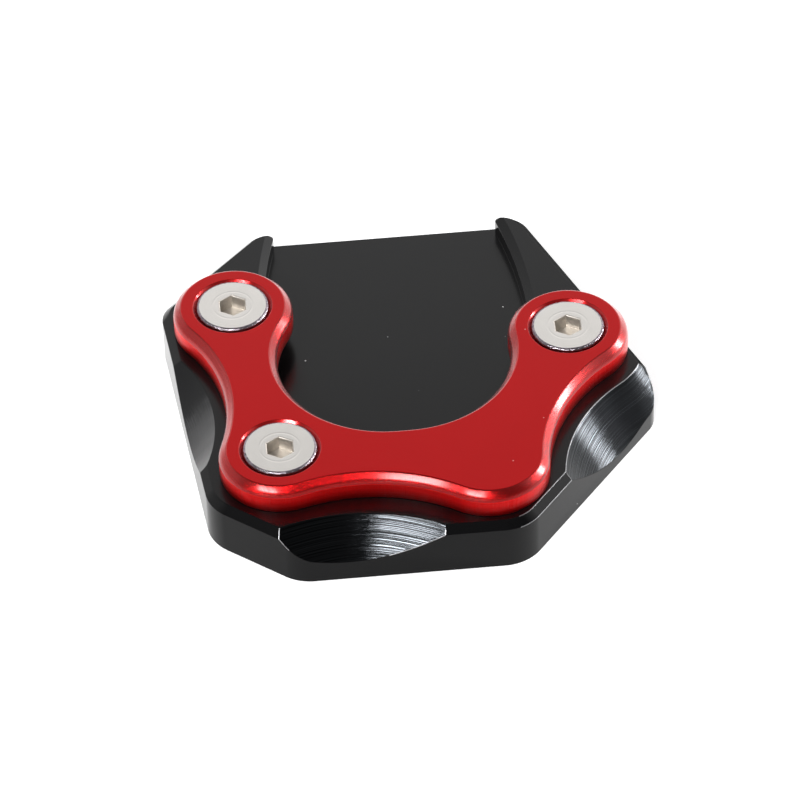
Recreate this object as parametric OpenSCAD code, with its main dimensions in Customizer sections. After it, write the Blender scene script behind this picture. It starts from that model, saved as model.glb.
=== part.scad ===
// Kickstand foot enlarger: a black base plate, a red clamp plate and three screws.
// The foot of the stand slides in between the horns, onto the pocket floor, and under the clamp plate.
// X runs across the plate, +Y points to the open rear end of the pocket, and Z is up.
// The origin is on the underside, in the middle of the plate's width and depth.

/* [Base plate] */
// Overall depth, from the front edge to the tips of the horns
base_depth = 72.9; // [68:0.1:80]
// Thickness
base_h = 9; // [8:0.1:14]
// Chamfer along the upper edges
base_chamfer = 1.2; // [0.6:0.1:2]
// Vertical radius of the three front corners
front_corner_r = 7.4; // [3:0.1:9]
// Vertical radius of the side corners and of the horn tips
rear_corner_r = 5; // [3:0.1:6]
// Length of the front edge, between its sharp corners
front_len = 35.8; // [30:0.1:40]
// Place of the middle of the front edge across the plate
front_mid = -3; // [-5:0.1:0]
// Length of the rear edge over both horns, between its sharp corners
rear_len = 43.7; // [42:0.1:47]
// Place of the middle of the rear edge across the plate
rear_mid = -0.5; // [-1.5:0.1:1]
// Distance of the left front corner from the middle of the width
left_front_x = 33.9; // [32.5:0.1:36]
// Distance of the left front corner from the front edge
left_front_y = 10.2; // [8:0.1:14]
// Distance of the left corner from the middle of the width
left_x = 39; // [37:0.1:42]
// Distance of the left corner from the rear edge
left_y = 17.2; // [14:0.1:20]
// Distance of the right corner from the middle of the width
right_x = 39.5; // [38.5:0.1:43]
// Distance of the right corner from the front edge
right_y = 29.9; // [27:0.1:33]

/* [Pocket for the foot of the stand] */
// Depth of the pocket below the top of the base plate
pocket_depth = 3.6; // [2:0.1:5]
// Greatest width of the pocket
pocket_w = 42.8; // [40:0.1:44]
// Place of the pocket's middle across the plate
pocket_mid = -0.9; // [-1.5:0.1:0.5]
// Distance from the rear edge to the widest place of the pocket
pocket_waist = 24; // [20:0.5:28]
// Radius of the side walls, which draw in towards the rear
pocket_wall_r = 93; // [80:1:200]
// Distance from the front edge to the round front wall of the pocket
pocket_front = 16.4; // [15:0.1:20]
// Small radius at the inner corner of each horn tip
horn_lip_r = 0.8; // [0.3:0.1:1.2]

/* [Clamp plate] */
// Thickness
clamp_h = 4.5; // [3.9:0.1:7]
// Chamfer along the upper edges
clamp_chamfer = 1.2; // [0.5:0.1:1.5]
// Radius of the four lobes, three around the screws and a blank one
lobe_r = 9.65; // [8.5:0.05:10.5]
// Radius of the hollow between the two left lobes
left_hollow_r = 28; // [24:0.5:40]
// Radius of the hollow along the front
front_hollow_r = 28; // [24:0.5:40]
// Radius of the hollow along the right side
right_hollow_r = 30; // [24:0.5:40]
// Radius of the two corners of the U opening, which run into the rear lobes
mouth_r = 17.6; // [16:0.1:18.2]
// Distance from the front edge of the base plate to the bottom of the U opening
mouth_front = 19.3; // [18.5:0.1:20]

/* [Bevels cut down the rim of the base plate] */
// Radius of the upper rim of the front bevel
front_bevel_r = 31; // [22:0.5:36]
// Place of the middle of the front bevel across the plate
front_bevel_x = -12.9; // [-14:0.1:-6]
// Reach of the front bevel behind the front edge
front_bevel_reach = 5.2; // [4:0.1:6.5]
// Lean of the front bevel away from upright, in degrees
front_lean = 44; // [40:1:50]
// Ledge left between the clamp plate and the left bevel
left_ledge = 1.9; // [1.5:0.1:3]
// Ledge left between the clamp plate and the right bevel
right_ledge = 2.4; // [1.5:0.1:3.5]
// Lean of the side bevels away from upright, in degrees
side_lean = 38; // [34:1:46]

/* [Screws] */
// Distance between the left rear and right rear screws, across the plate
screw_span = 53.1; // [51:0.1:55]
// Place of the left rear screw across the plate, from its middle
screw_left_x = -27.3; // [-29:0.1:-26]
// Distance of the left rear screw behind the middle of the plate's depth
screw_left_y = 13.7; // [12:0.1:15]
// Distance of the right rear screw behind the middle of the plate's depth
screw_right_y = 2.7; // [1:0.1:5]
// Place of the front screw across the plate
screw_front_x = -22.1; // [-24:0.1:-20]
// Distance of the front screw before the middle of the plate's depth
screw_front_y = 20; // [18:0.1:22]
// Place of the blank lobe across the plate
blank_x = 10.1; // [8:0.1:12]
// Distance of the blank lobe before the middle of the plate's depth
blank_y = 24.7; // [22:0.1:26]
// Diameter of the screw heads
head_d = 11.7; // [11:0.1:12.2]
// Upright edge of the head, above its cone
head_edge = 0.7; // [0.3:0.05:1]
// Chamfer round the top of the heads
head_chamfer = 0.45; // [0.1:0.05:0.6]
// Height of the head above the clamp plate
head_proud = 0.15; // [0:0.05:0.4]
// Diameter over the thread
thread_d = 6; // [5:0.5:6.5]
// Length of the screws, head included
screw_len = 12; // [10:0.5:13]
// Width of the hexagon socket across its flats
socket_af = 4; // [3:0.1:5]
// Depth of the socket
socket_depth = 2.4; // [1.5:0.1:2.8]

/* [Fits] */
// Clearance between the thread and the hole in the base plate, on the radius
thread_gap = 0.05; // [0.02:0.01:0.1]
// Clearance of the shank in the clamp plate, on the radius
shank_gap = 0.3; // [0.1:0.05:0.5]
// Clearance between the cone of the head and its countersink
seat_gap = 0.05; // [0:0.01:0.1]

/* [Hidden] */
$fn = 80;
big_fn = 360;
over = 1;
front_y = -base_depth / 2;
rear_y = base_depth / 2;

// Sharp corners of the base plate, anticlockwise from the front left, each with its radius
corners = [
    [front_mid - front_len / 2, front_y, front_corner_r],
    [front_mid + front_len / 2, front_y, front_corner_r],
    [right_x, front_y + right_y, rear_corner_r],
    [rear_mid + rear_len / 2, rear_y, rear_corner_r],
    [rear_mid - rear_len / 2, rear_y, rear_corner_r],
    [-left_x, rear_y - left_y, rear_corner_r],
    [-left_front_x, front_y + left_front_y, front_corner_r]
];

// Middles of the lobes
rear_left = [screw_left_x, screw_left_y];
rear_right = [screw_left_x + screw_span, screw_right_y];
front_left = [screw_front_x, -screw_front_y];
blank = [blank_x, -blank_y];
screw_places = [rear_left, rear_right, front_left];

// Middles of the three hollows, each tangent to the lobes on both sides of it
left_hollow = hollow_middle(rear_left, front_left, left_hollow_r);
front_hollow = hollow_middle(front_left, blank, front_hollow_r);
right_hollow = hollow_middle(blank, rear_right, right_hollow_r);

// Middles of the two corners of the U opening, each tangent to the rear lobe beside it
mouth_y = front_y + mouth_front + mouth_r;
mouth_left = [rear_left[0] + sqrt(pow(mouth_r + lobe_r, 2) - pow(rear_left[1] - mouth_y, 2)), mouth_y];
mouth_right = [rear_right[0] - sqrt(pow(mouth_r + lobe_r, 2) - pow(rear_right[1] - mouth_y, 2)), mouth_y];

// Base plate, its pocket and its bevels
blend = 0.005;
pocket_floor = base_h - pocket_depth;
lobe_bevel_sweep = 100;

// Screws
head_r = head_d / 2;
thread_r = thread_d / 2;
head_top = base_h + clamp_h + head_proud;
cone_top = head_top - head_edge;
sink_r = head_r + base_h + clamp_h - cone_top + seat_gap;
thread_chamfer = 0.6;
socket_point = 0.8;

function unit(v) = v / norm(v);
function left_of(v) = [-v[1], v[0]];
function xy(p) = [p[0], p[1]];
function direction(v) = atan2(v[1], v[0]);

// Middle of a hollow of radius r that touches the lobes round a and b, to the right of the way a to b
function hollow_middle(a, b, r) =
    let (half = norm(b - a) / 2, aside = sqrt(pow(lobe_r + r, 2) - half * half))
    (a + b) / 2 - left_of(unit(b - a)) * aside;

// Middle of the round at a corner of the base plate, its radius away from both edges
function corner_middle(i) =
    let (n = len(corners), p = xy(corners[i]), r = corners[i][2],
         u = unit(xy(corners[(i + n - 1) % n]) - p), v = unit(xy(corners[(i + 1) % n]) - p),
         half = acos(u * v) / 2)
    p + unit(u + v) * r / sin(half);

// Foot of the perpendicular from the middle of the round at corner i to edge j
function edge_foot(i, j) =
    let (n = len(corners), p = xy(corners[j]), u = unit(xy(corners[(j + 1) % n]) - p))
    p + u * ((corner_middle(i) - p) * u);

// Direction of edge i, from corner i to the next
function edge_direction(i) = direction(xy(corners[(i + 1) % len(corners)]) - xy(corners[i]));

// Upright round post with a chamfered top edge
module post(r, h, c) {
    rotate_extrude() polygon([[0, 0], [r, 0], [r, h - c], [r - c, h], [0, h]]);
}

// Cutter for a hollow, which flares out to leave a chamfered top edge
module hollow_cutter(r, bottom, top, c) {
    rotate_extrude($fn = big_fn) polygon([
        [0, bottom - over], [r, bottom - over], [r, top - c], [r + c + over, top + over], [0, top + over]
    ]);
}

// What is cut off along edge i of the base plate to chamfer it
module edge_chamfer(i) {
    a = xy(corners[i]);
    b = xy(corners[(i + 1) % len(corners)]);
    translate([a[0], a[1], base_h]) rotate([0, 0, edge_direction(i)]) rotate([90, 0, 90])
        translate([0, 0, -front_corner_r]) linear_extrude(norm(b - a) + 2 * front_corner_r)
            polygon([[-over, -base_chamfer - over], [base_chamfer + over, over], [-over, over]]);
}

// What is cut off a sharp corner of the base plate to round it
module corner_cutter(i) {
    p = corner_middle(i);
    r = corners[i][2];
    difference() {
        translate([p[0], p[1], -over]) linear_extrude(base_h + 2 * over) polygon([
            [0, 0], (edge_foot(i, (i + len(corners) - 1) % len(corners)) - p) * 1.2,
            (xy(corners[i]) - p) * 1.2, (edge_foot(i, i) - p) * 1.2
        ]);
        translate([p[0], p[1], 0]) rotate_extrude() polygon([
            [0, -2 * over], [r + blend, -2 * over], [r + blend, base_h - base_chamfer],
            [r + blend - base_chamfer - 2 * over, base_h + 2 * over], [0, base_h + 2 * over]
        ]);
    }
}

// Blank of the base plate
module base_blank() {
    difference() {
        linear_extrude(base_h) polygon([for (c = corners) xy(c)]);
        for (i = [0 : len(corners) - 1]) {
            edge_chamfer(i);
            corner_cutter(i);
        }
    }
}

// Pocket, open at the rear, with drawn-in side walls, a round front wall and a chamfered rim
module pocket() {
    half = pocket_w / 2;
    front_middle = front_y + pocket_front + half;
    waist_y = rear_y - pocket_waist;
    translate([pocket_mid, 0, pocket_floor]) {
        intersection() {
            translate([-pocket_w, waist_y, 0]) cube([2 * pocket_w, pocket_waist + over, base_h]);
            for_both_sides() translate([pocket_wall_r - half, waist_y, 0])
                hollow_cutter(pocket_wall_r, 0, pocket_depth, base_chamfer);
        }
        intersection() {
            translate([0, front_middle, 0]) hollow_cutter(half, 0, pocket_depth, base_chamfer);
            translate([-pocket_w, front_middle - pocket_w, 0]) cube([2 * pocket_w, pocket_w, base_h]);
        }
        translate([0, waist_y, 0]) rotate([90, 0, 0]) linear_extrude(waist_y - front_middle) polygon([
            [-half, 0], [half, 0], [half, pocket_depth - base_chamfer],
            [half + base_chamfer + over, pocket_depth + over],
            [-half - base_chamfer - over, pocket_depth + over],
            [-half, pocket_depth - base_chamfer]
        ]);
    }
}

// Both of two mirrored copies at once, each limiting the other
module for_both_sides() {
    intersection() {
        children();
        mirror([1, 0, 0]) children();
    }
}

// What is cut off the inner corner of a horn tip to round it
module horn_lip_cutter() {
    wall_x = pocket_w / 2 - pocket_wall_r;
    wall_y = rear_y - pocket_waist;
    lip_y = rear_y - horn_lip_r + blend;
    lean = asin((lip_y - wall_y) / (pocket_wall_r + horn_lip_r));
    lip_x = wall_x + (pocket_wall_r + horn_lip_r) * cos(lean);
    reach = 2 * horn_lip_r;
    difference() {
        translate([lip_x, lip_y, pocket_floor]) linear_extrude(base_h) polygon([
            [0, 0], [0, reach], [-reach, reach], [-reach * cos(lean), -reach * sin(lean)]
        ]);
        translate([lip_x, lip_y, 0]) rotate_extrude() polygon([
            [0, pocket_floor - over], [horn_lip_r + blend, pocket_floor - over],
            [horn_lip_r + blend, base_h - base_chamfer], [0, base_h - base_chamfer + horn_lip_r + blend]
        ]);
    }
}

// Hollow bevel cut down the rim of the base plate, round point p and with radius r at its upper rim
module hollow_bevel(p, r, lean) {
    translate([p[0], p[1], -over])
        cylinder(r1 = r - (base_h + over) * tan(lean), r2 = r + over * tan(lean), h = base_h + 2 * over, $fn = big_fn);
}

// Bevel round the right rear lobe, from the end of the right bevel to the side of the base plate
module lobe_bevel() {
    r = lobe_r + right_ledge;
    start = direction(right_hollow - rear_right);
    translate([rear_right[0], rear_right[1], 0]) difference() {
        rotate([0, 0, start]) rotate_extrude(angle = lobe_bevel_sweep)
            polygon([[r - over, over], [3 * r, over], [3 * r, base_h + over], [r - over, base_h + over]]);
        translate([0, 0, -over])
            cylinder(r1 = r + (base_h + over) * tan(side_lean), r2 = r - over * tan(side_lean), h = base_h + 2 * over);
    }
}

// Lower body
module base_plate() color([0.09, 0.09, 0.1]) difference() {
    base_blank();
    pocket();
    hollow_bevel(left_hollow, left_hollow_r - left_ledge, side_lean);
    hollow_bevel([front_bevel_x, front_y + front_bevel_reach - front_bevel_r], front_bevel_r, front_lean);
    hollow_bevel(right_hollow, right_hollow_r - right_ledge, side_lean);
    lobe_bevel();
    translate([pocket_mid, 0, 0]) for (side = [0, 1]) mirror([side, 0, 0]) horn_lip_cutter();
    for (p = screw_places) translate([p[0], p[1], -over])
        cylinder(r = thread_r + thread_gap, h = base_h + 2 * over);
}

// Upper plate, with a lobe round each screw and a hollow between each pair of lobes
module clamp_plate() color([0.7, 0.13, 0.15]) translate([0, 0, base_h]) difference() {
    union() {
        for (p = [rear_left, rear_right, front_left, blank]) translate(p) post(lobe_r, clamp_h, clamp_chamfer);
        linear_extrude(clamp_h) polygon([
            rear_left, left_hollow, front_left, front_hollow, blank, right_hollow, rear_right,
            mouth_right, mouth_left
        ]);
    }
    hollow(left_hollow, left_hollow_r);
    hollow(front_hollow, front_hollow_r);
    hollow(right_hollow, right_hollow_r);
    hollow(mouth_left, mouth_r);
    hollow(mouth_right, mouth_r);
    translate([mouth_left[0], mouth_left[1], 0]) rotate([90, 0, 90]) linear_extrude(mouth_right[0] - mouth_left[0])
        polygon([
            [over, -over], [-mouth_r, -over], [-mouth_r, clamp_h - clamp_chamfer],
            [-mouth_r - clamp_chamfer - over, clamp_h + over], [over, clamp_h + over]
        ]);
    for (p = screw_places) translate(p) countersink();
}

// Side of the clamp plate hollowed out round point p
module hollow(p, r) {
    translate([p[0], p[1], 0]) hollow_cutter(r, 0, clamp_h, clamp_chamfer);
}

// Clearance hole and cone for a screw
module countersink() {
    translate([0, 0, -over]) cylinder(r = thread_r + shank_gap, h = clamp_h + 2 * over);
    translate([0, 0, clamp_h - sink_r]) cylinder(r1 = 0, r2 = sink_r + over, h = sink_r + over);
}

// Countersunk screw with a hexagon socket, its top at the height of its origin
module screw() {
    neck = head_r - thread_r + head_edge;
    rim = min(head_chamfer, head_edge - 0.1);
    difference() {
        rotate_extrude() polygon([
            [0, 0], [head_r - rim, 0], [head_r, -rim], [head_r, -head_edge], [thread_r, -neck],
            [thread_r, thread_chamfer - screw_len], [thread_r - thread_chamfer, -screw_len], [0, -screw_len]
        ]);
        translate([0, 0, -socket_depth]) rotate([0, 0, 30])
            cylinder(d = socket_af / cos(30), h = socket_depth + over, $fn = 6);
        translate([0, 0, -socket_depth - socket_point]) cylinder(r1 = 0, d2 = 0.9 * socket_af, h = socket_point + 0.01);
    }
}

module screws() color([0.8, 0.78, 0.76])
    for (p = screw_places) translate([p[0], p[1], head_top]) screw();

base_plate();
clamp_plate();
screws();
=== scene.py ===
import math
import bpy
from mathutils import Matrix, Vector

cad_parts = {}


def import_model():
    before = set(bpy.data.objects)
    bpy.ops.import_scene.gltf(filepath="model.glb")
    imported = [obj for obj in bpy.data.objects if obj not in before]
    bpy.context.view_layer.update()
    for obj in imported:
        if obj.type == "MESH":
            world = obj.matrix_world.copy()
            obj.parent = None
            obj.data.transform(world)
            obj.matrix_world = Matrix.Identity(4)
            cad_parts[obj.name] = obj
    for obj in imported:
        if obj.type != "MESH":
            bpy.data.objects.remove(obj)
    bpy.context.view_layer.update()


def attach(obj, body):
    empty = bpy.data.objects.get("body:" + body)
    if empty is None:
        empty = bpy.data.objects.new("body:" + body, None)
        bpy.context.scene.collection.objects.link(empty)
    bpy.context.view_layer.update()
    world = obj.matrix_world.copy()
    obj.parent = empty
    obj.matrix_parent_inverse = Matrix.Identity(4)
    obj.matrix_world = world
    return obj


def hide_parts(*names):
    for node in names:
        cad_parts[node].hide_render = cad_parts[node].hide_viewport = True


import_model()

MM = 0.001

# The sizes, heights and places of the object are in millimetres, as in the frame.

# Axes of the screws
REAR_LEFT = (-27.3, 13.7)
REAR_RIGHT = (25.8, 2.7)
FRONT_LEFT = (-22.1, -20.0)
SCREW_AXES = (REAR_LEFT, REAR_RIGHT, FRONT_LEFT)

# Tops of the two plates
PLATE_TOP = 9.0
CLAMP_TOP = 13.5

# One screw
HEAD_TOP = 13.65
HEAD_RADIUS = 5.85
HEAD_EDGE = 0.7
HEAD_ROUNDING = 0.45
HEAD_SIDES = 96
THREAD_RADIUS = 3.0
SCREW_LENGTH = 12.0
TIP_CHAMFER = 0.6
SOCKET_FLATS = 4.0
SOCKET_DEPTH = 2.4
SOCKET_FLOOR = HEAD_TOP - SOCKET_DEPTH
SOCKET_ROUNDING = 0.22
DRILL_RADIUS = 1.8
DRILL_DEPTH = 0.8
DRILL_SIDES = 48

# Circles that hold all of a socket, and all of a countersink
SOCKET_REACH = 2.6
COUNTERSINK_REACH = 6.6

# Bevels down the rim of the base plate: axis, radius at the top of the plate, lean in degrees.
# The plate is hollow along the first three, and round along the last, behind the right screw.
FRONT_BEVEL = (-12.9, -62.25, 31.0, 44.0)
LEFT_BEVEL = (-57.88, -8.27, 26.1, 38.0)
RIGHT_BEVEL = (49.505, -29.08, 27.6, 38.0)
LOBE_BEVEL = (*REAR_RIGHT, 12.05, 38.0)
ON_BEVEL = 0.1
LEFT_BEVEL_END = -28.0

# Middle of the hollow along the front of the clamp plate
FRONT_HOLLOW = (-10.9, -56.1)

# Rounding of the base plate's edges, but for the inner corners of the horn tips
BASE_EDGE = 0.08
TIPS_ABOVE = 5.0
TIPS_BEHIND = 35.0
TIPS_LEFT = -20.6
TIPS_RIGHT = 18.6

# Rounding below the clamp plate's chamfer, and the share of it at the other edges
CLAMP_EDGE = 0.6
SINK_SHARE = 0.08
TOP_SHARE = 0.3
TOP_EDGE_ABOVE = CLAMP_TOP - 0.1
FOOT_SHARE = 0.2
FOOT_EDGE_BELOW = PLATE_TOP + 1

# Where edges of the base plate show bare metal
RIM_WIDTH = 0.12
CHAMFER_DEPTH = 1.4
RIGHT_WEAR_FROM = 14.0
RIGHT_RIM_END = 37.5
RIGHT_CHAMFER_END = -8.0
FRONT_WEAR_END = -30.0
FRONT_WEAR_GAP = (-22.0, -6.5)

# Parts of a face's normal. Upwards, the flat tops have more than FLAT, and walls and bevels less
# than LEVEL; a bevel has more than BEVEL_LEAN, and the clamp plate's chamfer than CHAMFER_LEAN.
# To the right or rear, a face that is turned there has more than TURNED.
FLAT = 0.98
LEVEL = 0.9
BEVEL_LEAN = 0.3
CHAMFER_LEAN = 0.25
TURNED = 0.1

# Least difference between two places
NEAR = 0.01

FLAT_ANGLE = math.radians(0.4)
SHARP_ANGLE = math.radians(20)
SMOOTH_ANGLE = math.radians(40)


# Small helpers

def deselect_all():
    if bpy.context.object and bpy.context.object.mode != "OBJECT":
        bpy.ops.object.mode_set(mode="OBJECT")
    bpy.ops.object.select_all(action="DESELECT")


def make_active(obj):
    deselect_all()
    obj.select_set(True)
    bpy.context.view_layer.objects.active = obj


def duplicate(obj, name):
    """Copy an object along with its mesh, and name both."""
    make_active(obj)
    bpy.ops.object.duplicate()
    piece = bpy.context.object
    piece.name = name
    piece.data.name = name
    return piece


def copy_of_node(node, name):
    """Copy a CAD node into a new piece, with its loose triangles merged into faces."""
    piece = duplicate(bpy.data.objects[node], name)
    for key in list(piece.keys()):
        del piece[key]
    make_active(piece)
    bpy.ops.object.mode_set(mode="EDIT")
    bpy.ops.mesh.select_all(action="SELECT")
    bpy.ops.mesh.remove_doubles(threshold=NEAR * MM)
    bpy.ops.mesh.dissolve_limited(angle_limit=FLAT_ANGLE)
    bpy.ops.object.mode_set(mode="OBJECT")
    piece.data.materials.clear()
    return piece


def apply_modifier(piece, name, kind, **settings):
    modifier = piece.modifiers.new(name, kind)
    for setting, value in settings.items():
        setattr(modifier, setting, value)
    make_active(piece)
    bpy.ops.object.modifier_apply(modifier=name)


def edit_unselected(piece, kind):
    """Go into edit mode to select elements of one kind, with none selected yet."""
    make_active(piece)
    bpy.ops.object.mode_set(mode="EDIT")
    bpy.ops.mesh.select_mode(type=kind)
    bpy.ops.mesh.select_all(action="DESELECT")


def break_edges(piece, width, segments, share, material=-1):
    """Round the sharp edges as deburring leaves them, each by its share of the width."""
    edit_unselected(piece, "EDGE")
    bpy.ops.mesh.edges_select_sharp(sharpness=SHARP_ANGLE)
    bpy.ops.object.mode_set(mode="OBJECT")
    mesh = piece.data
    weight = mesh.attributes.new("bevel_weight_edge", "FLOAT", "EDGE")
    for edge in mesh.edges:
        if edge.select:
            a, b = (mesh.vertices[v].co for v in edge.vertices)
            weight.data[edge.index].value = share((a + b) / 2 / MM)
    apply_modifier(piece, "edge_break", "BEVEL", limit_method="WEIGHT", width=width * MM,
                   segments=segments, material=material, use_clamp_overlap=False)


def smooth(piece):
    """Shade the curved faces smooth, and keep the flat ones flat."""
    make_active(piece)
    bpy.ops.object.shade_smooth_by_angle(angle=SMOOTH_ANGLE)
    apply_modifier(piece, "even_normals", "WEIGHTED_NORMAL", keep_sharp=True)


def carry(piece, *finishes):
    """Let a piece carry its finishes; its faces show the first one."""
    for finish in finishes:
        piece.data.materials.append(finish)


def slot_of(piece, finish):
    return piece.data.materials.find(finish.name)


def off_screw(point):
    """How far a point is from the nearest screw's axis."""
    return min(math.hypot(point.x - x, point.y - y) for x, y in SCREW_AXES)


# Nodes

def feed(tree, node, inputs):
    """Feed a node's inputs: an output of another node is linked, and a value is set."""
    for name, value in inputs.items():
        if isinstance(value, bpy.types.NodeSocket):
            tree.links.new(value, node.inputs[name])
        else:
            node.inputs[name].default_value = value


def add_node(tree, kind, inputs, **settings):
    node = tree.nodes.new(kind)
    for name, value in settings.items():
        setattr(node, name, value)
    feed(tree, node, inputs)
    return node


def math_node(tree, operation, a, b):
    return add_node(tree, "ShaderNodeMath", {0: a, 1: b}, operation=operation).outputs[0]


def plus(tree, a, b):
    return math_node(tree, "ADD", a, b)


def minus(tree, a, b):
    return math_node(tree, "SUBTRACT", a, b)


def times(tree, a, b):
    return math_node(tree, "MULTIPLY", a, b)


def map_range(tree, value, low, high, to_low=0.0, to_high=1.0):
    node = add_node(tree, "ShaderNodeMapRange", {
        "Value": value, "From Min": low, "From Max": high, "To Min": to_low, "To Max": to_high})
    return node.outputs[0]


def object_point(tree):
    return tree.nodes.new("ShaderNodeTexCoord").outputs["Object"]


def split(tree, vector):
    return add_node(tree, "ShaderNodeSeparateXYZ", {0: vector}).outputs


def distance(tree, point, middle):
    node = add_node(tree, "ShaderNodeVectorMath", {0: point, 1: middle}, operation="DISTANCE")
    return node.outputs["Value"]


def line_noise(tree, position, detail, roughness=0.5):
    """Noise along one measure only."""
    inputs = {"W": position, "Detail": detail, "Roughness": roughness}
    return add_node(tree, "ShaderNodeTexNoise", inputs, noise_dimensions="1D").outputs["Fac"]


def cloud_noise(tree, scale, detail):
    """Noise over the whole object."""
    inputs = {"Vector": object_point(tree), "Scale": scale, "Detail": detail}
    return add_node(tree, "ShaderNodeTexNoise", inputs).outputs["Fac"]


# Node groups shared by the finishes

def new_group(name, inputs, outputs):
    """Start a group whose inputs are floats or vectors, as their values are, with float outputs."""
    group = bpy.data.node_groups.new(name, "ShaderNodeTree")
    for label, value in inputs.items():
        kind = "NodeSocketFloat" if isinstance(value, float) else "NodeSocketVector"
        socket = group.interface.new_socket(label, in_out="INPUT", socket_type=kind)
        socket.default_value = value
    for label in outputs:
        group.interface.new_socket(label, in_out="OUTPUT", socket_type="NodeSocketFloat")
    given = group.nodes.new("NodeGroupInput").outputs
    return group, given, group.nodes.new("NodeGroupOutput")


def dust_group():
    """Sparse small specks of dust, as a mask."""
    group, given, result = new_group(
        "dust_specks", {"Scale": 300.0, "Amount": 0.5, "Size": 0.045}, ["Mask"])
    cells = add_node(group, "ShaderNodeTexVoronoi",
                     {"Vector": object_point(group), "Scale": given["Scale"]})
    near = math_node(group, "LESS_THAN", cells.outputs["Distance"], given["Size"])
    pick = add_node(group, "ShaderNodeSeparateColor", {0: cells.outputs["Color"]})
    chosen = math_node(group, "LESS_THAN", pick.outputs[0], given["Amount"])
    feed(group, result, {"Mask": times(group, near, chosen)})
    return group


def mottle_group():
    """Slow, faint unevenness of a surface, about one."""
    group, given, result = new_group("mottle", {"Scale": 60.0, "Depth": 0.1}, ["Value"])
    noise = cloud_noise(group, given["Scale"], detail=5.0)
    swing = times(group, minus(group, noise, 0.5), given["Depth"])
    feed(group, result, {"Value": plus(group, swing, 1.0)})
    return group


def ring_marks_group():
    """Marks of a cutter that runs level, so that they change with height, but for a slow drift."""
    group, given, result = new_group("ring_marks", {"Scale": 1000.0}, ["Height", "Tone"])
    height = times(group, split(group, object_point(group))["Z"], given["Scale"])
    level = plus(group, height, cloud_noise(group, scale=60.0, detail=0.0))
    fine = line_noise(group, level, detail=2.5, roughness=0.6)
    broad = line_noise(group, times(group, level, 1.1), detail=2.0, roughness=0.7)
    feed(group, result, {"Height": fine, "Tone": map_range(group, broad, 0.42, 0.6)})
    return group


def flank_marks_group():
    """Upright marks on a milled flank, which change only with the direction from a middle."""
    group, given, result = new_group(
        "flank_marks", {"Middle": (0.0, 0.0, 0.0), "Scale": 60.0}, ["Height"])
    away = add_node(group, "ShaderNodeVectorMath",
                    {0: object_point(group), 1: given["Middle"]}, operation="SUBTRACT")
    way = split(group, away.outputs[0])
    turn = math_node(group, "ARCTAN2", way["Y"], way["X"])
    turn = times(group, turn, given["Scale"])
    feed(group, result, {"Height": line_noise(group, turn, detail=4.0, roughness=0.7)})
    return group


def turned_rings_group():
    """Rings that a lathe leaves round the nearest screw's axis, and the distance from that axis."""
    group, given, result = new_group("turned_rings", {"Scale": 1500.0}, ["Height", "Radius"])
    flat = add_node(group, "ShaderNodeMapping",
                    {"Vector": object_point(group), "Scale": (1.0, 1.0, 0.0)})
    radius = None
    for x, y in SCREW_AXES:
        here = distance(group, flat.outputs[0], (x * MM, y * MM, 0))
        radius = here if radius is None else math_node(group, "MINIMUM", radius, here)
    rings = line_noise(group, times(group, radius, given["Scale"]), detail=4.0)
    feed(group, result, {"Height": rings, "Radius": radius})
    return group


DUST = dust_group()
MOTTLE = mottle_group()
RING_MARKS = ring_marks_group()
FLANK_MARKS = flank_marks_group()
TURNED_RINGS = turned_rings_group()


# Finishes

RED_DUST = (0.8, 0.4, 0.4)
GREY_DUST = (0.4, 0.4, 0.4)
BLACK_DYE = (0.002, 0.002, 0.0023)

# The painted shade that darkens the foot of the clamp plate ends this far above the base plate
PAINTED_SHADE_HEIGHT = 2.0

# Distances from the middle of the front hollow between which the streaks fade out
STREAKS_FULL = 34.0
STREAKS_END = 38.0

# Faint round dent in the screw heads: where its two sides start, how wide they are, and its depth
DENT_INNER = 3.0
DENT_OUTER = 3.25
DENT_SIDE = 0.15
DENT_DEPTH = 0.012


def place(tree, group, **values):
    """Place a node group in a material."""
    return add_node(tree, "ShaderNodeGroup", values, node_tree=group).outputs


def new_material(name):
    material = bpy.data.materials.new(name)
    material.use_nodes = True
    return material, material.node_tree, material.node_tree.nodes["Principled BSDF"]


def tinted(tree, colour, factor):
    """A colour multiplied by a value that changes over the surface."""
    inputs = {"Factor": 1.0, "A": (*colour, 1.0), "B": factor}
    mix = add_node(tree, "ShaderNodeMix", inputs, data_type="RGBA", blend_type="MULTIPLY")
    return mix.outputs["Result"]


def dusted(tree, colour, mask, speck):
    """A colour with specks of dust on it."""
    inputs = {"Factor": mask, "A": colour, "B": (*speck, 1.0)}
    return add_node(tree, "ShaderNodeMix", inputs, data_type="RGBA").outputs["Result"]


def bump(tree, shader, height, strength, depth):
    """Bend the shading as a height between zero and one would, for a depth in millimetres."""
    inputs = {"Strength": strength, "Distance": depth * MM, "Height": height}
    feed(tree, shader, {"Normal": add_node(tree, "ShaderNodeBump", inputs).outputs[0]})


def mill(tree, shader, coat, depth):
    """Add the cutter's marks to a flank; across the front hollow they streak its coat as well."""
    middle = (FRONT_HOLLOW[0] * MM, FRONT_HOLLOW[1] * MM, 0)
    across = place(tree, FLANK_MARKS, Middle=middle, Scale=45.0)["Height"]
    away = distance(tree, object_point(tree), middle)
    in_front = map_range(tree, away, STREAKS_FULL * MM, STREAKS_END * MM, to_low=1.0, to_high=0.0)
    gap = map_range(tree, across, 0.44, 0.6, to_low=0.8, to_high=0.0)
    kept = minus(tree, 1.0, times(tree, gap, in_front))
    feed(tree, shader, {"Coat Weight": times(tree, coat, kept)})
    along = place(tree, RING_MARKS, Scale=2500.0)["Height"]
    bump(tree, shader, plus(tree, across, times(tree, along, 0.4)), 1.0, depth)


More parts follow.
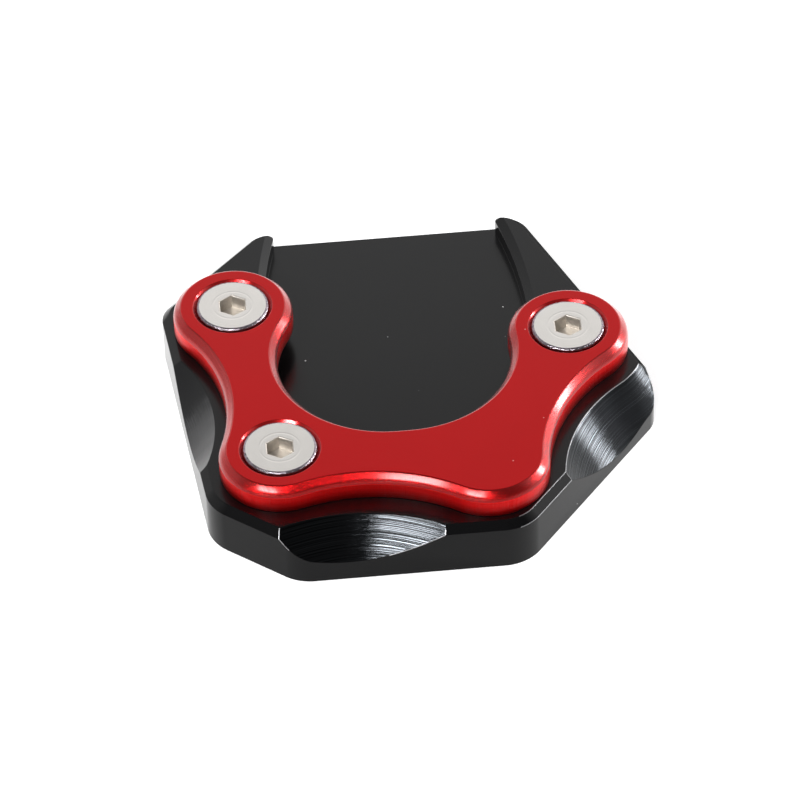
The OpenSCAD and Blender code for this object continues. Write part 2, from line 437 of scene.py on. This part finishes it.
def red_anodised(name, colour, metallic, roughness, coat, coat_roughness, foot_shade=1.0):
    """Red dyed aluminium under a coat, with dust, and with painted shade that darkens it towards
    its foot.
    """
    material, tree, shader = new_material(name)
    mottle = place(tree, MOTTLE, Scale=120.0, Depth=0.1)["Value"]
    grain = place(tree, MOTTLE, Scale=4000.0, Depth=0.08)["Value"]
    specks = place(tree, DUST, Scale=230.0, Amount=0.6, Size=0.03)["Mask"]
    # Painted shade: the red is darkened from the given share at the base plate's top up to full
    # colour a little higher.
    height = split(tree, object_point(tree))["Z"]
    painted_shade_top = PLATE_TOP + PAINTED_SHADE_HEIGHT
    shade = map_range(tree, height, PLATE_TOP * MM, painted_shade_top * MM, to_low=foot_shade)
    dye_with_painted_shade = tinted(tree, colour, times(tree, mottle, shade))
    feed(tree, shader, {
        "Base Color": dusted(tree, dye_with_painted_shade, specks, RED_DUST),
        "Roughness": times(tree, grain, roughness),
        "Metallic": metallic,
        "Specular IOR Level": 0.0,
        "Coat Weight": coat,
        "Coat Roughness": coat_roughness,
    })
    return material


def milled_red(name, coat, depth, **look):
    """A flank of the clamp plate, with marks of a depth in millimetres."""
    material = red_anodised(name, coat=coat, **look)
    tree = material.node_tree
    mill(tree, tree.nodes["Principled BSDF"], coat, depth)
    return material


def black_anodised(name, ior, roughness):
    """Black dyed aluminium with dust; the lower its index, the less it mirrors."""
    material, tree, shader = new_material(name)
    mottle = place(tree, MOTTLE, Scale=150.0, Depth=0.3)["Value"]
    grain = place(tree, MOTTLE, Scale=6000.0, Depth=0.25)["Value"]
    specks = place(tree, DUST, Scale=210.0, Amount=0.6, Size=0.03)["Mask"]
    feed(tree, shader, {
        "Base Color": dusted(tree, tinted(tree, BLACK_DYE, mottle), specks, GREY_DUST),
        "Roughness": times(tree, grain, roughness),
        "IOR": ior,
    })
    return material


def cut_black(name, colour, darkest, depth):
    """Dark bevel that mirrors like metal, with rings of the cutter; the light ones are smoother."""
    material, tree, shader = new_material(name)
    rings = place(tree, RING_MARKS, Scale=1100.0)
    tone = map_range(tree, rings["Tone"], 0.0, 1.0, to_low=darkest)
    feed(tree, shader, {
        "Base Color": tinted(tree, colour, tone),
        "Roughness": map_range(tree, rings["Tone"], 0.0, 1.0, to_low=0.16, to_high=0.08),
        "Metallic": 1.0,
    })
    bump(tree, shader, rings["Height"], 1.0, depth)
    return material


def bare_edge(name):
    """Bright, uneven edge of a bevel that was cut after the plate was dyed."""
    material, tree, shader = new_material(name)
    mottle = place(tree, MOTTLE, Scale=700.0, Depth=1.2)["Value"]
    feed(tree, shader, {
        "Base Color": tinted(tree, (0.3, 0.3, 0.31), mottle), "Metallic": 1.0, "Roughness": 0.36})
    return material


def plain_steel(name, colour, roughness, unevenness, dents=0.0):
    """Uneven bare steel, if need be with small dents of a depth in millimetres."""
    material, tree, shader = new_material(name)
    mottle = place(tree, MOTTLE, Scale=2200.0, Depth=unevenness)["Value"]
    feed(tree, shader, {
        "Base Color": tinted(tree, colour, mottle),
        "Roughness": times(tree, mottle, roughness),
        "Metallic": 1.0,
    })
    if dents:
        bump(tree, shader, mottle, 1.0, dents)
    return material


def thread_steel(name):
    """Shank of a screw: steel with the level bands of a thread."""
    material, tree, shader = new_material(name)
    mottle = place(tree, MOTTLE, Scale=900.0, Depth=0.3)["Value"]
    feed(tree, shader, {
        "Base Color": tinted(tree, (0.6, 0.58, 0.56), mottle), "Metallic": 1.0, "Roughness": 0.3})
    bands = add_node(tree, "ShaderNodeTexWave", {"Vector": object_point(tree), "Scale": 314.0},
                     bands_direction="Z")
    bump(tree, shader, bands.outputs["Fac"], 1.0, 0.3)
    return material


def turned_steel(name):
    """Face of a screw head, with the lathe's rings and a faint round dent about the socket."""
    material, tree, shader = new_material(name)
    mottle = place(tree, MOTTLE, Scale=500.0, Depth=0.08)["Value"]
    feed(tree, shader, {
        "Base Color": tinted(tree, (0.68, 0.655, 0.625), mottle), "Metallic": 1.0,
        "Roughness": 0.27})
    rings = place(tree, TURNED_RINGS, Scale=1800.0)
    inner, outer = (map_range(tree, rings["Radius"], start * MM, (start + DENT_SIDE) * MM)
                    for start in (DENT_INNER, DENT_OUTER))
    dent = minus(tree, inner, outer)
    bump(tree, shader, minus(tree, times(tree, rings["Height"], 0.02), dent), 0.5, DENT_DEPTH)
    return material


RED_TOP = red_anodised(
    "red_anodised_top", colour=(0.42, 0.005, 0.006), metallic=0.6, roughness=0.3,
    coat=0.22, coat_roughness=0.12)
RED_CHAMFER = milled_red(
    "red_milled_chamfer", colour=(0.38, 0.0055, 0.006), metallic=0.85, roughness=0.2,
    coat=0.85, coat_roughness=0.19, depth=0.045)
# The sides carry painted shade: their red is darkened towards their foot.
RED_SIDE = milled_red(
    "red_milled_side", colour=(0.95, 0.011, 0.012), metallic=0.95, roughness=0.34,
    coat=0.3, coat_roughness=0.2, depth=0.11, foot_shade=0.2)
RED_SINK = red_anodised(
    "red_countersink", colour=(0.42, 0.005, 0.006), metallic=0.7, roughness=0.25,
    coat=0.8, coat_roughness=0.14)
BLACK = black_anodised("black_anodised_finish", ior=1.35, roughness=0.22)
BLACK_WALL = black_anodised("black_anodised_wall", ior=1.33, roughness=0.13)
DULL_BLACK = black_anodised("dull_black_rear", ior=1.05, roughness=0.5)
CUT_BLACK = cut_black(
    "cut_black_bevel", colour=(0.041, 0.044, 0.048), darkest=0.22, depth=0.033)
SATIN_BLACK = cut_black(
    "satin_black_bevel", colour=(0.035, 0.035, 0.036), darkest=0.85, depth=0.006)
BARE_EDGE = bare_edge("bare_edge")
HEAD_FACE = turned_steel("turned_steel")
# The head's rim is steel painted darker and purplish, and strongly uneven, as a painted reflection
# of the dark surroundings in the rounded rim.
PAINTED_DARK_EDGE_STEEL = plain_steel(
    "head_edge_painted_dark", colour=(0.3, 0.26, 0.29), roughness=0.13, unevenness=1.8, dents=0.1)
THREAD_STEEL = thread_steel("rolled_thread")
SOCKET_STEEL = plain_steel(
    "pressed_socket", colour=(0.66, 0.62, 0.57), roughness=0.5, unevenness=0.35)


# Base plate

def off_cone(point, bevel, side):
    """How far a point is from a bevel that widens upwards (side 1) or narrows (side -1)."""
    x, y, radius, lean = bevel
    slope = math.radians(lean)
    here = math.hypot(point.x - x, point.y - y)
    change = (PLATE_TOP - point.z) * math.tan(slope)
    return abs((here - radius + side * change) * math.cos(slope))


def off_bevel(point):
    """How far a point is from the nearest bevel surface of the base plate."""
    distances = [off_cone(point, bevel, 1) for bevel in (FRONT_BEVEL, LEFT_BEVEL, RIGHT_BEVEL)]
    if point.x > REAR_RIGHT[0]:
        distances.append(off_cone(point, LOBE_BEVEL, -1))
    return min(distances)


def is_worn(point):
    """Parts of the bevels' rims and of the right chamfer's edges, which show bare metal."""
    at_bevel = off_bevel(point) < RIM_WIDTH
    at_top = point.z > PLATE_TOP - RIM_WIDTH
    if point.x > RIGHT_WEAR_FROM:
        at_chamfer = point.y < RIGHT_CHAMFER_END and point.z > PLATE_TOP - CHAMFER_DEPTH
        return (at_top and point.x < RIGHT_RIM_END) if at_bevel else at_chamfer
    in_gap = FRONT_WEAR_GAP[0] < point.x < FRONT_WEAR_GAP[1]
    return point.y < FRONT_WEAR_END and at_bevel and not at_top and not in_gap


def base_edge_share(middle):
    """Round all edges but the arcs at the inner corners of the horn tips, which are too short."""
    at_tips = middle.y > TIPS_BEHIND and TIPS_LEFT < middle.x < TIPS_RIGHT
    return 0.0 if at_tips and middle.z > TIPS_ABOVE else 1.0


def base_plate():
    piece = copy_of_node("base_plate", "black_base_plate")
    carry(piece, BLACK, CUT_BLACK, BARE_EDGE, BLACK_WALL, SATIN_BLACK, DULL_BLACK)
    cut, bare, wall, satin, dull = (
        slot_of(piece, finish)
        for finish in (CUT_BLACK, BARE_EDGE, BLACK_WALL, SATIN_BLACK, DULL_BLACK))
    for face in piece.data.polygons:
        level = abs(face.normal.z)
        if BEVEL_LEAN < level < LEVEL and off_bevel(face.center / MM) < ON_BEVEL:
            face.material_index = satin if face.center.x / MM < LEFT_BEVEL_END else cut
        elif level < LEVEL:
            to_rear_right = face.normal.x > TURNED and face.normal.y > TURNED
            face.material_index = dull if to_rear_right and face.center.x > 0 else wall
    break_edges(piece, BASE_EDGE, segments=2, share=base_edge_share, material=bare)
    for face in piece.data.polygons:
        if face.material_index == bare and not is_worn(face.center / MM):
            to_rear = face.normal.y > TURNED
            face.material_index = dull if to_rear and face.center.x > 0 else wall
    smooth(piece)
    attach(piece, "root")
    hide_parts("base_plate")


# Clamp plate

def clamp_edge_share(middle):
    """The outer edge below the chamfer is rounded most, and the rims of the countersinks least."""
    if off_screw(middle) < COUNTERSINK_REACH:
        return SINK_SHARE
    if middle.z > TOP_EDGE_ABOVE:
        return TOP_SHARE
    return 1.0 if middle.z > FOOT_EDGE_BELOW else FOOT_SHARE


def clamp_plate():
    piece = copy_of_node("clamp_plate", "red_clamp_plate")
    carry(piece, RED_TOP, RED_CHAMFER, RED_SIDE, RED_SINK)
    chamfer, side, sink = (
        slot_of(piece, finish) for finish in (RED_CHAMFER, RED_SIDE, RED_SINK))
    break_edges(piece, CLAMP_EDGE, segments=5, share=clamp_edge_share)
    for face in piece.data.polygons:
        if face.normal.z < FLAT:
            if off_screw(face.center / MM) < COUNTERSINK_REACH:
                face.material_index = sink
            else:
                face.material_index = chamfer if face.normal.z > CHAMFER_LEAN else side
    smooth(piece)
    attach(piece, "root")
    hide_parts("clamp_plate")


# Screws

def draw_down(depth, scale=1):
    """Extrude the selected faces downwards, and scale the new ring about the axis."""
    bpy.ops.mesh.extrude_region_move(TRANSFORM_OT_translate={"value": (0, 0, -depth * MM)})
    if scale != 1:
        bpy.ops.transform.resize(value=(scale, scale, 1))


def screw_body():
    """Head, cone, shank and chamfered tip, drawn down from a disc."""
    cone = HEAD_RADIUS - THREAD_RADIUS
    shank = SCREW_LENGTH - HEAD_EDGE - cone - TIP_CHAMFER
    deselect_all()
    bpy.ops.mesh.primitive_cylinder_add(
        vertices=HEAD_SIDES, radius=HEAD_RADIUS * MM, depth=HEAD_EDGE * MM,
        location=(0, 0, (HEAD_TOP - HEAD_EDGE / 2) * MM))
    piece = bpy.context.object
    make_active(piece)
    bpy.ops.object.transform_apply(location=True, rotation=True, scale=True)
    edit_unselected(piece, "FACE")
    bpy.ops.object.mode_set(mode="OBJECT")
    for face in piece.data.polygons:
        face.select = face.normal.z < -LEVEL
    bpy.ops.object.mode_set(mode="EDIT")
    draw_down(cone, THREAD_RADIUS / HEAD_RADIUS)
    draw_down(shank)
    draw_down(TIP_CHAMFER, (THREAD_RADIUS - TIP_CHAMFER) / THREAD_RADIUS)
    bpy.ops.object.mode_set(mode="OBJECT")
    return piece


def bevel_top_ring(piece, width, segments, wanted):
    """Bevel the edges of the head's top that are wanted by their distance from the axis."""
    edit_unselected(piece, "EDGE")
    bpy.ops.object.mode_set(mode="OBJECT")
    mesh = piece.data
    for edge in mesh.edges:
        a, b = (mesh.vertices[v].co / MM for v in edge.vertices)
        at_top = a.z > HEAD_TOP - NEAR and abs(a.z - b.z) < NEAR
        edge.select = at_top and wanted(max(a.xy.length, b.xy.length))
    bpy.ops.object.mode_set(mode="EDIT")
    bpy.ops.mesh.bevel(offset=width * MM, segments=segments, affect="EDGES")
    bpy.ops.object.mode_set(mode="OBJECT")


def cut_away(piece, cutter):
    apply_modifier(piece, "cut", "BOOLEAN", operation="DIFFERENCE", solver="EXACT", object=cutter)
    bpy.data.objects.remove(cutter)


def cut_socket(piece):
    """Hexagon socket, and the cone that its drill left below it."""
    deselect_all()
    bpy.ops.mesh.primitive_cylinder_add(
        vertices=6, radius=SOCKET_FLATS / 2 / math.cos(math.pi / 6) * MM,
        depth=2 * SOCKET_DEPTH * MM, location=(0, 0, HEAD_TOP * MM))
    cut_away(piece, bpy.context.object)
    deselect_all()
    bpy.ops.mesh.primitive_cone_add(
        vertices=DRILL_SIDES, radius1=0, radius2=DRILL_RADIUS * MM, depth=DRILL_DEPTH * MM,
        location=(0, 0, (SOCKET_FLOOR - DRILL_DEPTH / 2 + NEAR) * MM))
    cut_away(piece, bpy.context.object)


def socket_screw():
    """One countersunk screw, its axis on the origin."""
    piece = screw_body()
    bevel_top_ring(piece, HEAD_ROUNDING, segments=3, wanted=lambda radius: radius > SOCKET_REACH)
    cut_socket(piece)
    bevel_top_ring(piece, SOCKET_ROUNDING, segments=2, wanted=lambda radius: radius < SOCKET_REACH)
    carry(piece, PAINTED_DARK_EDGE_STEEL, HEAD_FACE, SOCKET_STEEL, THREAD_STEEL)
    for face in piece.data.polygons:
        height = face.center.z / MM
        radius = face.center.xy.length / MM
        if face.normal.z > FLAT and height > CLAMP_TOP:
            face.material_index = slot_of(piece, HEAD_FACE)
        elif radius < SOCKET_REACH and height > SOCKET_FLOOR - DRILL_DEPTH:
            face.material_index = slot_of(piece, SOCKET_STEEL)
        elif height < HEAD_TOP - HEAD_EDGE:
            face.material_index = slot_of(piece, THREAD_STEEL)
    smooth(piece)
    return piece


def screws():
    pattern = socket_screw()
    for name, (x, y) in (("rear_left_screw", REAR_LEFT), ("rear_right_screw", REAR_RIGHT),
                         ("front_left_screw", FRONT_LEFT)):
        piece = duplicate(pattern, name)
        piece.location = (x * MM, y * MM, 0)
        bpy.ops.object.transform_apply(location=True, rotation=True, scale=True)
        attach(piece, "root")
        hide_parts("screws")
    bpy.data.objects.remove(pattern)


# Camera

LOOK_AT = Vector((-2.5, -11.55, 13.65)) * MM
CAMERA_DISTANCE = 708.5 * MM
CAMERA_ELEVATION = math.radians(43.52)
CAMERA_TURN = math.radians(-4.0)
CAMERA_ROLL = math.radians(-1.85)
CAMERA_LENS = 202.5
CAMERA_SENSOR = 36.0


def camera():
    data = bpy.data.cameras.new("camera")
    data.lens = CAMERA_LENS
    data.sensor_width = CAMERA_SENSOR
    data.clip_start = 0.05
    data.clip_end = 20.0
    obj = bpy.data.objects.new("camera", data)
    bpy.context.scene.collection.objects.link(obj)
    turn = (Matrix.Rotation(CAMERA_TURN, 4, "Z")
            @ Matrix.Rotation(math.pi / 2 - CAMERA_ELEVATION, 4, "X")
            @ Matrix.Rotation(CAMERA_ROLL, 4, "Z"))
    back = turn.to_3x3() @ Vector((0, 0, CAMERA_DISTANCE))
    obj.matrix_world = Matrix.Translation(LOOK_AT + back) @ turn
    bpy.context.scene.camera = obj


# Floor and light, in metres and degrees

FLOOR_SIZE = 6.0
FLOOR_DROP = 0.02 * MM
FLOOR_GREY = 0.68
FLOOR_GLOW = 0.6
MIRRORED_GLOW = 1.1

LAMP_DISTANCE = 1.3
LAMPS = (
    # name, azimuth from the front and positive to the right, elevation, width, height, watts
    ("soft_box_front_left", -31, 42, 0.58, 0.14, 14.6),
    ("soft_box_right", 102, 15, 0.23, 0.5, 10.0),
    ("low_strip_in_front", -25, 8, 0.7, 0.06, 1.2),
)

# Brightness of the room behind and in front, by the height of the direction
ROOM_BEHIND = ((0, 1.5), (0.6, 1.45), (0.665, 1.4), (0.7, 0.75), (0.76, 0.4), (1, 0.15))
ROOM_IN_FRONT = ((0, 1.0), (0.15, 0.35), (0.4, 0.08), (1, 0.2))
BRIGHTEST = 2.0


def floor():
    """White floor that glows for the camera, and behind the part for mirrored rays."""
    deselect_all()
    bpy.ops.mesh.primitive_plane_add(size=FLOOR_SIZE, location=(0, 0, -FLOOR_DROP))
    obj = bpy.context.object
    obj.name = "floor"
    material, tree, shader = new_material("floor_white")
    rays = tree.nodes.new("ShaderNodeLightPath").outputs
    point = split(tree, object_point(tree))
    mirrored = math_node(tree, "MAXIMUM", rays["Is Glossy Ray"], rays["Is Transmission Ray"])
    behind = map_range(tree, point["Y"], -0.05, 0.03, to_high=MIRRORED_GLOW)
    not_left = map_range(tree, point["X"], -0.045, -0.03, to_low=0.6)
    glow = times(tree, times(tree, mirrored, behind), not_left)
    seen = times(tree, rays["Is Camera Ray"], FLOOR_GLOW)
    feed(tree, shader, {
        "Base Color": (FLOOR_GREY, FLOOR_GREY, FLOOR_GREY, 1),
        "Roughness": 0.9,
        "Specular IOR Level": 0.0,
        "Emission Color": (1, 1, 1, 1),
        "Emission Strength": plus(tree, seen, glow),
    })
    obj.data.materials.append(material)


def soft_box(name, azimuth, elevation, width, height, power):
    data = bpy.data.lights.new(name, "AREA")
    data.shape = "RECTANGLE"
    data.size = width
    data.size_y = height
    data.energy = power
    obj = bpy.data.objects.new(name, data)
    bpy.context.scene.collection.objects.link(obj)
    a, e = math.radians(azimuth), math.radians(elevation)
    way = Vector((math.sin(a) * math.cos(e), -math.cos(a) * math.cos(e), math.sin(e)))
    obj.location = way * LAMP_DISTANCE
    obj.rotation_euler = way.to_track_quat("Z", "Y").to_euler()


def grey_ramp(tree, height, stops):
    """Brightness by height, straight between the stops."""
    node = add_node(tree, "ShaderNodeFloatCurve", {"Value": height})
    curve = node.mapping.curves[0]
    while len(curve.points) > 2:
        curve.points.remove(curve.points[1])
    curve.points[0].location = (0, stops[0][1] / BRIGHTEST)
    curve.points[1].location = (1, stops[-1][1] / BRIGHTEST)
    for here, value in stops[1:-1]:
        curve.points.new(here, value / BRIGHTEST)
    for point in curve.points:
        point.handle_type = "VECTOR"
    node.mapping.update()
    return times(tree, node.outputs[0], BRIGHTEST)


def world():
    """White for the camera; for other rays a room that is darker behind at the left."""
    studio = bpy.data.worlds.new("studio")
    bpy.context.scene.world = studio
    studio.use_nodes = True
    tree = studio.node_tree
    way = split(tree, tree.nodes.new("ShaderNodeTexCoord").outputs["Generated"])
    not_left = map_range(tree, way["X"], -0.65, -0.3, to_low=0.5)
    behind = times(tree, grey_ramp(tree, way["Z"], ROOM_BEHIND), not_left)
    in_front = grey_ramp(tree, way["Z"], ROOM_IN_FRONT)
    share = map_range(tree, way["Y"], 0.03, -0.42)
    room = plus(tree, times(tree, in_front, share),
                times(tree, behind, minus(tree, 1.0, share)))
    direct = tree.nodes.new("ShaderNodeLightPath").outputs["Is Camera Ray"]
    around = times(tree, room, minus(tree, 1.0, direct))
    feed(tree, tree.nodes["Background"], {
        "Color": (1, 1, 1, 1), "Strength": math_node(tree, "MAXIMUM", direct, around)})


base_plate()
clamp_plate()
screws()
camera()
floor()
world()
for lamp in LAMPS:
    soft_box(*lamp)

bpy.context.scene.view_settings.view_transform = "Standard"
